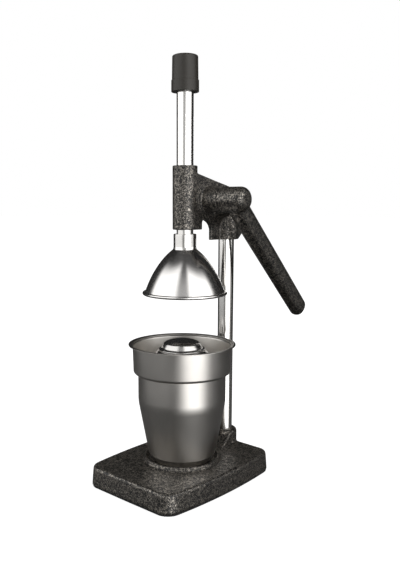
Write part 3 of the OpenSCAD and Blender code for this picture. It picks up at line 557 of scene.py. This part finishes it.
# %% Sizes of the rack
ram_low, ram_high = heights("rack_rod")
ram_r = half_span("rack_rod")
gear_module, pressure_slope, tooth_play = 1.75, math.tan(math.radians(20)), 0.3
tip_cut, root_modules = 0.75, 1.25
rack_pitch = math.pi * gear_module
tip_depth, pitch_depth = ram_r - tip_cut, ram_r - tip_cut - gear_module
root_depth = pitch_depth - root_modules * gear_module
root_half = rack_pitch / 4 + tooth_play / 2 - (pitch_depth - root_depth) * pressure_slope
tip_half = root_half + (tip_depth - root_depth) * pressure_slope
pinion_height = middle("pinion")[2] / mm
gaps_below, gaps_above = 3, 17
rack_span = (pinion_height - (gaps_below + 0.5) * rack_pitch,
             pinion_height + (gaps_above + 0.5) * rack_pitch)
print("rack between heights", np.round(rack_span, 1), "mm, pitch", round(rack_pitch, 2), "mm")

# %% Depth of the rack at a height
full_share = 0.9995


def rack_depth(height):
    """How far behind the axis the ram's back lies: the root in a gap, then a flank that rises
    with the pressure angle to the tip. Above and below the rack it is a hair less than the bar's
    radius, so that the chord never shrinks to nothing."""
    offset = np.abs((height - pinion_height + rack_pitch / 2) % rack_pitch - rack_pitch / 2)
    depth = np.clip(root_depth + (offset - root_half) / pressure_slope, root_depth, tip_depth)
    inside = (height > rack_span[0]) & (height < rack_span[1])
    return np.where(inside, depth, full_share * ram_r)


def ram_rows(beside=0.1, hair=0.005, end_gap=1.2, rack_gap=1, plain_below=5, plain_above=8):
    """Heights of the rows: on the root and the tip of each tooth's flanks and close beside
    them, a hair off both sides of the rack's two ends, and a few on the plain bar."""
    marks = np.add.outer((root_half, tip_half), (-beside, 0, beside)).ravel()
    centres = pinion_height + np.arange(-gaps_below, gaps_above + 1) * rack_pitch
    teeth = (centres[:, None] + np.concatenate([-marks[::-1], marks])).ravel()
    ends = np.array([end + step for end in rack_span for step in (-hair, hair)])
    plain = np.concatenate([np.linspace(ram_low + end_gap, rack_span[0] - rack_gap, plain_below),
                            np.linspace(rack_span[1] + rack_gap, ram_high - end_gap, plain_above)])
    return np.sort(np.concatenate([teeth, ends, plain]))


print("the rack's roots lie", round(float(rack_depth(ram_rows()).min()), 2), "mm behind the axis")

# %% Surface of the ram
def ram_rings(arc_columns=112, chord_columns=16):
    """Rows of an arc that runs round the front from the chord's one end to its other, then
    points along the chord. The chord's ends lie where the arcsine of depth over radius says."""
    height = ram_rows()
    depth = rack_depth(height)
    edge = np.arcsin(depth / ram_r)
    share = np.linspace(0, 1, arc_columns)
    turn = (np.pi - edge)[:, None] + (np.pi + 2 * edge)[:, None] * share
    half = np.sqrt(ram_r ** 2 - depth ** 2)[:, None]
    along = np.linspace(1, -1, chord_columns + 2)[1:-1]
    x = np.hstack([ram_r * np.cos(turn), half * along])
    y = np.hstack([ram_r * np.sin(turn), np.repeat(depth[:, None], chord_columns, 1)])
    z = np.repeat(height[:, None], x.shape[1], 1)
    return np.stack([x, y, z], -1)


def chamfered_end(row, level, side, chamfer=0.6):
    """Two rows that close a bar's end: the given one a chamfer below the end's level, and one
    at the level, drawn in by the chamfer."""
    below = np.column_stack([row[:, :2], np.full(len(row), level - side * chamfer)])
    edge = np.column_stack([row[:, :2] * (1 - chamfer / ram_r), np.full(len(row), level)])
    return below, edge


rings = ram_rings()
foot_below, foot_edge = chamfered_end(rings[0], ram_low, side=-1)
head_below, head_edge = chamfered_end(rings[-1], ram_high, side=1)
ram_grid = np.vstack([[foot_edge], [foot_below], rings, [head_below], [head_edge]])
ram_points = ram_grid.reshape(-1, 3)
ram_faces = (grid_faces(len(ram_grid), ram_grid.shape[1], False)
             + pole_faces(len(ram_points), ram_grid.shape[1]))
ram_points = np.vstack([ram_points, [(0, 0, ram_low)], [(0, 0, ram_high)]])
ram_points[:, :2] += ram_axis / mm
new_piece("ram_bar", ram_points * mm, ram_faces, bar_chrome, "ram", ["rack_rod"], sharp=25)

# %% [markdown]
# ## Cap
# A rubber cap on the ram's top spares the hand. It has a slightly wider skirt at its foot. A
# scaled cylinder would miss the taper of its side and the soft crown, so the outline has both.

# %% Cap
cap_low, cap_high = heights("rod_cap")
skirt_r = half_span("rod_cap")
bar_hole_r = ram_r + 0.02
skirt_high, skirt_slope, hole_high = cap_low + 13.4, 0.3, cap_low + 36.3
side_r, shoulder_r, crown_r = skirt_r - 0.75, skirt_r - 1.15, skirt_r - 3.6
crown_low = cap_high - 1.0
mouth_round, shoulder_round, crown_round = 0.4, 3.6, 2.5
turned("ram_cap", rounded([
    (0, hole_high, 0), (bar_hole_r, hole_high, broken), (bar_hole_r, cap_low, mouth_round),
    (skirt_r, cap_low, broken), (skirt_r, skirt_high - skirt_slope, filed),
    (side_r, skirt_high, filed), (shoulder_r, crown_low, shoulder_round),
    (crown_r, cap_high, crown_round), (0, cap_high, 0)], False),
    ram_axis, finishes["cap_rubber"], "ram", ["rod_cap"])

# %% [markdown]
# ## Collar
# The collar is a turned and chromed sleeve that joins the bell to the ram. Its foot flares out on
# to the bell in a hollow rounding, so the light runs from the one to the other without a break.
# A cone would show an edge there, so the flare is an arc.

# %% Collar
collar_low, collar_high = heights("bell_collar")
collar_r = half_span("bell_collar")
flare_r, flare_centre_h, flare_top_h = 7.5, 2.9, 8
foot_out, foot_drop = 1.5, 3.4
screw_hole_r, screw_floor, top_round = 4.3, collar_low + 5, 0.6
flare_centre = (collar_r + flare_r, collar_low + flare_centre_h)
neck_corners = [
    (screw_hole_r, collar_low, 0), (collar_r + foot_out, collar_low - foot_drop, 0),
    *arc_points(flare_centre, flare_r, start=226, end=180, steps=14),
    (collar_r, collar_low + flare_top_h, 0), (collar_r, collar_high, top_round),
    (bar_hole_r, collar_high, filed), (bar_hole_r, screw_floor, 0), (screw_hole_r, screw_floor, 0)]
turned("bell_neck", rounded(neck_corners, False), ram_axis, bar_chrome, "ram", ["bell_collar"])

# %% [markdown]
# ## Bell
# The bell presses the fruit over the reamer. It is spun from sheet: its outside is a curve of
# four control points, its inside is the same curve set off by the wall, and its edge is rolled
# outwards into a bead. A half sphere would be too round at the shoulder, and control points let
# the curve be steep at the edge and flat at the neck.

# %% Curve of the bell
bell_low, bell_high = heights("press_bell")
bell_r = half_span("press_bell")
bell_wall, roll_r = 2.2, 2.0
roll_centre = (bell_r - roll_r, bell_low + roll_r)
edge_r = bell_r - roll_r - roll_r / 2
bell_shares = np.array([(0, 1), (0.44, 0.80), (0.81, 0.42), (1, 0.05)])
bell_size = np.array([edge_r - collar_r, bell_high - bell_low])
control = np.array([collar_r, bell_low]) + bell_shares * bell_size


def bell_curve(share):
    """The cubic curve of the four control points, and its direction: each control point weighs
    as its term of the binomial of share and one minus share."""
    t = np.asarray(share)[:, None]
    place = ((1 - t) ** 3 * control[0] + 3 * (1 - t) ** 2 * t * control[1]
             + 3 * (1 - t) * t ** 2 * control[2] + t ** 3 * control[3])
    step = ((1 - t) ** 2 * (control[1] - control[0]) + 2 * (1 - t) * t * (control[2] - control[1])
            + t ** 2 * (control[3] - control[2]))
    return place, step / np.linalg.norm(step, axis=1, keepdims=True)


middle_radius = float(bell_curve([0.5])[0][0, 0])
print("half way along its curve, the bell has a radius of", round(middle_radius, 1), "mm")

# %% Bell
outside_end, inside_start, boss_walls, boss_edge = 0.965, 0.14, 3.5, 0.4


def bell_outline(steps=64):
    """Round the rolled edge, up the outside, over the boss, and down the inside, which is the
    outside moved by the wall, square to the curve's direction."""
    outside, _ = bell_curve(np.linspace(outside_end, 0, steps))
    inside, way = bell_curve(np.linspace(inside_start, 1, steps))
    inside = inside + bell_wall * np.column_stack([way[:, 1], -way[:, 0]])
    roll = np.array(arc_points(roll_centre, roll_r, start=-160, end=128, steps=30))[:, :2]
    boss_low = bell_high - boss_walls * bell_wall
    boss = [(screw_hole_r, bell_high), (screw_hole_r, boss_low),
            (collar_r - boss_edge, boss_low), (collar_r, boss_low + boss_edge)]
    return np.vstack([roll, outside, boss, inside]) * mm


turned("bell_shell", bell_outline(), ram_axis, bell_polish, "ram", ["press_bell"], columns=192)

# %% [markdown]
# ## Cup
# The cup is drawn from steel sheet: a straight band at the top, a long soft bend, a taper, a
# small bead and a foot that is tucked in under it. A tapered cylinder with a bevel would bend in
# one place only. A rounding of 60 mm lets the taper begin slowly, and that is what gives the
# highlight on the cup its soft lower end.

# %% Cup
cup_low, cup_high = heights("juice_cup")
cup_r = half_span("juice_cup", along=1)
sheet, foot_h, low_r = 1.6, 8.5, 41.0
bend_high, bend_round = cup_high - 34.5, 60
taper_low, floor_high = cup_low + foot_h + 1.5 * sheet, cup_low + 1.4 * sheet
bead_high = cup_low + foot_h + 0.75 * sheet
foot_flat_r, floor_r = low_r - 5.5, low_r - 6.5
tuck = (low_r - 0.5, bead_high - 1.1)
bead_foot, bead_top = (low_r + 0.35, bead_high - 0.5), (low_r + 0.5, bead_high + 0.5)
foot_round, tuck_round, bead_round, taper_round = 4, 0.8, 0.35, 3
turned("cup_shell", rounded([
    (0, cup_low, 0), (foot_flat_r, cup_low, foot_round), (*tuck, tuck_round),
    (*bead_foot, bead_round), (*bead_top, filed), (cup_r, bend_high, bend_round),
    (cup_r, cup_high, broken), (cup_r - sheet, cup_high, broken),
    (cup_r - sheet, bend_high, bend_round), (low_r - sheet, taper_low, taper_round),
    (floor_r, floor_high, foot_round), (0, floor_high, 0)], False, steps=10),
    cup_axis, cup_satin, "cup", ["juice_cup"], columns=192)

# %% [markdown]
# ## Bowl
# The bowl holds the strainer plate and the reamer. It stands on the cup's edge, a spigot inside
# the cup keeps it in place, and its wall ends in a flat lip that is bent outwards. Inside, the
# wall runs down to the plate in a wide rounding, which a cloth wipes clean. Outer and inner side
# are one closed outline, so the sheet has a true thickness at the lip, where it shows.

# %% Bowl
bowl_low, bowl_high = heights("strainer_bowl")
rim_outer = half_span("strainer_bowl")
wall_r, foot_r = rim_outer - 4.9, rim_outer - 5.9
spigot_r = cup_r - sheet - 0.3
shelf_in = spigot_r - sheet
shelf_end = shelf_in - 2 * sheet
rim_drop, lip_h, lip_edge, lip_slope = 1.0, 1.4, 0.5, 2.6
rim_high = bowl_high - rim_drop
lip_low = rim_high - lip_h
lip_foot, wall_foot = (wall_r - 1.0, lip_low - 2.0), (foot_r - 3.1, cup_high + 4 * sheet)
foot_out_round, foot_in_round, floor_round, shelf_round = 4.2, 6, 4, 0.6
lip_round, lip_top_round, lip_foot_round = 0.25, 0.9, 3
bowl_corners = [
    (shelf_end, cup_high - sheet, filed), (shelf_in, cup_high - sheet, shelf_round),
    (shelf_in, bowl_low, filed), (spigot_r, bowl_low, broken), (spigot_r, cup_high, filed),
    (foot_r, cup_high, foot_out_round), (wall_r, lip_low, filed), (rim_outer, lip_low, crisp),
    (rim_outer, rim_high - lip_edge, lip_round), (rim_outer - lip_slope, rim_high, lip_top_round),
    (*lip_foot, lip_foot_round), (*wall_foot, foot_in_round),
    (foot_r - 4 * sheet, cup_high + sheet, floor_round), (shelf_in, cup_high + sheet, broken),
    (shelf_in, cup_high, crisp), (shelf_end, cup_high, filed)]
turned("bowl_shell", rounded(bowl_corners, True, steps=10),
       cup_axis, cup_satin, "bowl", ["strainer_bowl"], columns=192)

# %% [markdown]
# ## Reamer
# The reamer presses the fruit from inside. It is a hollow pressing: a round knob, a flange under
# it, and a cone down to the strainer plate. Only the knob and the flange's edge show over the
# bowl, and both mirror the room, so their roundings are what makes them look right.

# %% Reamer
plate_low = heights("strainer_plate")[0]
reamer_low, knob_high = heights("reamer")
reamer_foot = half_span("reamer")
skin, knob_r, flange_r, lip_r = 2.4, 23.8, 28.6, 27.7
flange_high, seat_z = knob_high - 9.3, plate_low + 1.2
cone_foot = (32.4, flange_high - 6.0)
flange_foot, flange_edge = (flange_r + 0.2, flange_high - 2.4), (flange_r, flange_high - 0.1)
knob_foot, knob_side = (knob_r + 1.2, flange_high), (knob_r, knob_high - 6.2)
knob_shoulder, knob_top = (knob_r - 2.0, knob_high - 2.4), (knob_r - 8.0, knob_high)
inside_round, seat_round, skirt_round, cone_round = 2, 0.4, 0.8, 3
edge_round, hollow_round, shoulder_round, top_round = 1.2, 2.6, 4, 9
turned("reamer_cone", rounded([
    (0, knob_high - skin, 0), (knob_r - 2 * skin, knob_high - skin, shoulder_round),
    (knob_r - skin, flange_high, inside_round), (lip_r - skin, reamer_low, filed),
    (lip_r, reamer_low, crisp), (lip_r, seat_z, crisp), (reamer_foot, seat_z, seat_round),
    (reamer_foot, seat_z + skin, skirt_round), (*cone_foot, cone_round),
    (*flange_foot, skirt_round), (*flange_edge, edge_round), (*knob_foot, hollow_round),
    (*knob_side, cone_round), (*knob_shoulder, shoulder_round), (*knob_top, top_round),
    (0, knob_high, 0)], False, steps=14),
    cup_axis, reamer_satin, "bowl", ["reamer"], columns=192)

# %% [markdown]
# ## Camera
# The camera stands to the front and to the lever's side of the press, a little above the
# middle, and looks slightly down. Tilting it further would make the upright bars lean more, so
# its shift puts the press in the frame as in the photograph.

# %% Camera
frame_width, frame_height = 400, 570
azimuth, look_down = 42.68, 8.24
focal_px, centre_px = 674.36, (177.52, 298.28)
sensor_mm = 36
camera_x, camera_y, camera_z = 542.583, -596.503, 342.630
camera = bpy.data.cameras.new("camera")
camera.lens = focal_px * sensor_mm / frame_height
camera.shift_x = (frame_width / 2 - centre_px[0]) / frame_height
camera.shift_y = (centre_px[1] - frame_height / 2) / frame_height
camera_object = bpy.data.objects.new("camera", camera)
camera_object.location = (camera_x * mm, camera_y * mm, camera_z * mm)
camera_object.rotation_euler = (math.radians(90 - look_down), 0, math.radians(azimuth))
bpy.context.scene.collection.objects.link(camera_object)
bpy.context.scene.camera = camera_object
print("lens", round(camera.lens, 2), "mm")

# %% [markdown]
# ## Studio
# Polished metal shows the room it stands in, and in a white room it would vanish against the
# white. So the room here is a dark studio with soft panels round the press. Panels could be
# lamps or glowing sheets, but drawn into the world by direction they never stand in the way of
# another view. A direction is which way round it lies (azimuth from the camera's side) and how
# high (elevation).

# %% Nodes of the room
world = bpy.data.worlds.new("studio")
bpy.context.scene.world = world
world.use_nodes = True
room = world.node_tree
room.nodes.clear()


def room_node(kind, **settings):
    """A new node of the room, with its settings."""
    node = room.nodes.new(kind)
    for key, value in settings.items():
        setattr(node, key, value)
    return node


def room_math(operation, *inputs):
    """One sum of the room's drawing: its inputs are numbers or outputs of other nodes."""
    node = room_node("ShaderNodeMath", operation=operation)
    for socket, value in zip(node.inputs, inputs):
        if isinstance(value, (int, float)):
            socket.default_value = value
        else:
            room.links.new(value, socket)
    return node.outputs[0]


print("the room is", world.name)

# %% Soft edges
def soft_step(value, edge, soft):
    """0 below the edge and 1 above it, with a smooth change that is twice soft wide."""
    node = room_node("ShaderNodeMapRange", interpolation_type="SMOOTHSTEP")
    node.inputs["From Min"].default_value = edge - soft
    node.inputs["From Max"].default_value = edge + soft
    room.links.new(value, node.inputs["Value"])
    return node.outputs["Result"]


def soft_end(value, edge, soft):
    """1 below the edge and 0 above it: one minus the soft step."""
    return room_math("SUBTRACT", 1.0, soft_step(value, edge, soft))

# %% [markdown]
# The room is turned with the camera, so that azimuth 0 is the side where the camera stands. Then
# the angles are found as on a globe: the azimuth is the arc tangent of right over towards, and
# the elevation is the arc sine of up.

# %% Azimuth and elevation of a direction
to_degrees = 180 / math.pi
direction = room_node("ShaderNodeTexCoord").outputs["Generated"]
turned_room = room_node("ShaderNodeVectorRotate", rotation_type="Z_AXIS")
turned_room.inputs["Angle"].default_value = -math.radians(azimuth)
room.links.new(direction, turned_room.inputs["Vector"])
parts = room_node("ShaderNodeSeparateXYZ")
room.links.new(turned_room.outputs["Vector"], parts.inputs["Vector"])
right, away, up = parts.outputs
round_angle = room_math("ARCTAN2", right, room_math("MULTIPLY", away, -1.0))
round_angle = room_math("MULTIPLY", round_angle, to_degrees)
height_angle = room_math("MULTIPLY", room_math("ARCSINE", up), to_degrees)
print("room turned to", azimuth, "degrees")

# %% [markdown]
# Two tall panels left and right of the camera give the bars, the bell and the cup their two
# highlights, and a dim one between them the grey in the middle. A low one on the right lights
# the taper of the cup, and four faint ones stand for the floor on both sides, the bench and the
# ceiling. A tall panel's top falls off to the side, by a number of degrees for each degree of
# azimuth, as it does on a panel that is nearer at its inner end. Where panels overlap, the
# brighter one counts.

# %% Panels of the studio
dark_level = 0.022
panels = [
    # name, from azimuth, to azimuth, softness, from elevation, to top, softness, fall, strength
    ("left", -113, -25, 8, -5.5, 78, 10, 0.38, 1.5),
    ("right", 12, 90, 9, -3, 67, 11, 0.36, 1.9),
    ("right low", 2, 57, 17, -22, 6, 6, 0, 3.2),
    ("between", -34, 22, 10, -6, 50, 16, 0, 0.42),
    ("front left low", -125, -22, 22, -54, -24, 9, 0, 0.105),
    ("front right low", 0, 110, 22, -54, -24, 9, 0, 0.08),
    ("bench", -200, 200, 5, -45, -9, 6, 0, 0.076),
    ("above", -200, 200, 5, 58, 95, 12, 0, 0.07),
]
light = dark_level
for name, start, stop, side_soft, low, high, level_soft, fall, strength in panels:
    across = room_math("MULTIPLY", soft_step(round_angle, start, side_soft),
                       soft_end(round_angle, stop, side_soft))
    slant = room_math("MULTIPLY", room_math("ABSOLUTE", round_angle), fall)
    top = soft_end(room_math("ADD", height_angle, slant), high, level_soft)
    upright = room_math("MULTIPLY", soft_step(height_angle, low, level_soft), top)
    panel = room_math("MULTIPLY", room_math("MULTIPLY", across, upright), strength)
    light = room_math("MAXIMUM", light, panel)
print(len(panels), "panels")

# %% [markdown]
# The press stands before pure white, but the panels would tint a white wall, so each kind of ray
# gets its own room: the camera sees white, mirrors see the studio, and matt surfaces see an even
# grey that fades behind the press, so their sides turn darker as they turn away.

# %% Which ray sees what
matt_front, matt_loss, behind_from, behind_soft = 0.68, 0.48, 0.15, 0.75
path = room_node("ShaderNodeLightPath")
shiny = room_math("MAXIMUM", path.outputs["Is Glossy Ray"], path.outputs["Is Transmission Ray"])
behind = soft_step(away, behind_from, behind_soft)
matt_level = room_math("SUBTRACT", matt_front, room_math("MULTIPLY", behind, matt_loss))
seen = room_math("ADD", room_math("MULTIPLY", shiny, light),
                 room_math("MULTIPLY", room_math("SUBTRACT", 1.0, shiny), matt_level))
to_camera = path.outputs["Is Camera Ray"]
not_white = room_math("MULTIPLY", room_math("SUBTRACT", 1.0, to_camera), seen)
brightness = room_math("ADD", not_white, to_camera)
background = room_node("ShaderNodeBackground")
background.inputs["Color"].default_value = (1, 1, 1, 1)
room.links.new(brightness, background.inputs["Strength"])
room_out = room_node("ShaderNodeOutputWorld")
room.links.new(background.outputs["Background"], room_out.inputs["Surface"])
print(len(room.nodes), "nodes in the room")

# %% [markdown]
# ## Lamp
# The room lights the matt parts nearly alone. One faint lamp, high up behind the press, adds a
# little to what faces up, as a lamp on the ceiling does. A sun would draw a hard shadow, so it
# is a large square that throws a soft light, and it looks past the press, which keeps it faint.
# It isn't seen in polished metal, where the panels of the room are.

# %% Lamp
lamp_place, lamp_aim = np.array([-0.3, 0.6, 1.9]), np.array([-0.6, 1.2, 0.25])
lamp_size, lamp_power = 1.0, 14
lamp_light = bpy.data.lights.new("lamp_top", "AREA")
lamp_light.size = lamp_size
lamp_light.energy = lamp_power
lamp = bpy.data.objects.new("lamp_top", lamp_light)
lamp.location = lamp_place
# A lamp shines along its own -Z axis, which hangs straight down. It is tilted up round X by the
# arc cosine of how far its way goes down, and then turned round Z until it points at its aim.
way = (lamp_aim - lamp_place) / np.linalg.norm(lamp_aim - lamp_place)
lamp.rotation_euler = (math.acos(-way[2]), 0, math.atan2(-way[0], way[1]))
lamp.visible_glossy = False
bpy.context.scene.collection.objects.link(lamp)
print(lamp.name, "with", lamp_power, "W looks along", way.round(2))

# %% [markdown]
# ## Floor
# The press stands on a large sheet. Lit white paper would show a grey patch round the base and
# light the press from below. So the camera sees paper that glows until it is as white as the
# background, and all other rays see a darker paper, which throws little light back.

# %% Floor
span, paper_grey, paper_glow, dark_grey = 12.0, 0.5, 0.84, 0.12
floor_mesh = bpy.data.meshes.new("floor")
floor_corners = [(-span, -span, 0), (span, -span, 0), (span, span, 0), (-span, span, 0)]
floor_mesh.from_pydata(floor_corners, [], [(0, 1, 2, 3)])
floor = bpy.data.objects.new("floor", floor_mesh)
bpy.context.scene.collection.objects.link(floor)
floor.visible_glossy = False
paper = bpy.data.materials.new("floor_sheet")
paper.use_nodes = True
tree = paper.node_tree
tree.nodes.clear()
matt = tree.nodes.new("ShaderNodeBsdfDiffuse")
matt.inputs["Color"].default_value = (paper_grey, paper_grey, paper_grey, 1)
glow = tree.nodes.new("ShaderNodeEmission")
glow.inputs["Strength"].default_value = paper_glow
both = tree.nodes.new("ShaderNodeAddShader")
dark_matt = tree.nodes.new("ShaderNodeBsdfDiffuse")
dark_matt.inputs["Color"].default_value = (dark_grey, dark_grey, dark_grey, 1)
choose = tree.nodes.new("ShaderNodeMixShader")
floor_path = tree.nodes.new("ShaderNodeLightPath")
floor_out = tree.nodes.new("ShaderNodeOutputMaterial")
for output, target in (
        (matt.outputs[0], both.inputs[0]), (glow.outputs[0], both.inputs[1]),
        (floor_path.outputs["Is Camera Ray"], choose.inputs[0]),
        (dark_matt.outputs[0], choose.inputs[1]), (both.outputs[0], choose.inputs[2]),
        (choose.outputs[0], floor_out.inputs["Surface"])):
    tree.links.new(output, target)
floor_mesh.materials.append(paper)
print("floor", 2 * span, "m wide")

# %% [markdown]
# ## View transform
# The Standard view keeps white as white, where the default view would grey it.

# %% View transform
bpy.context.scene.view_settings.view_transform = "Standard"
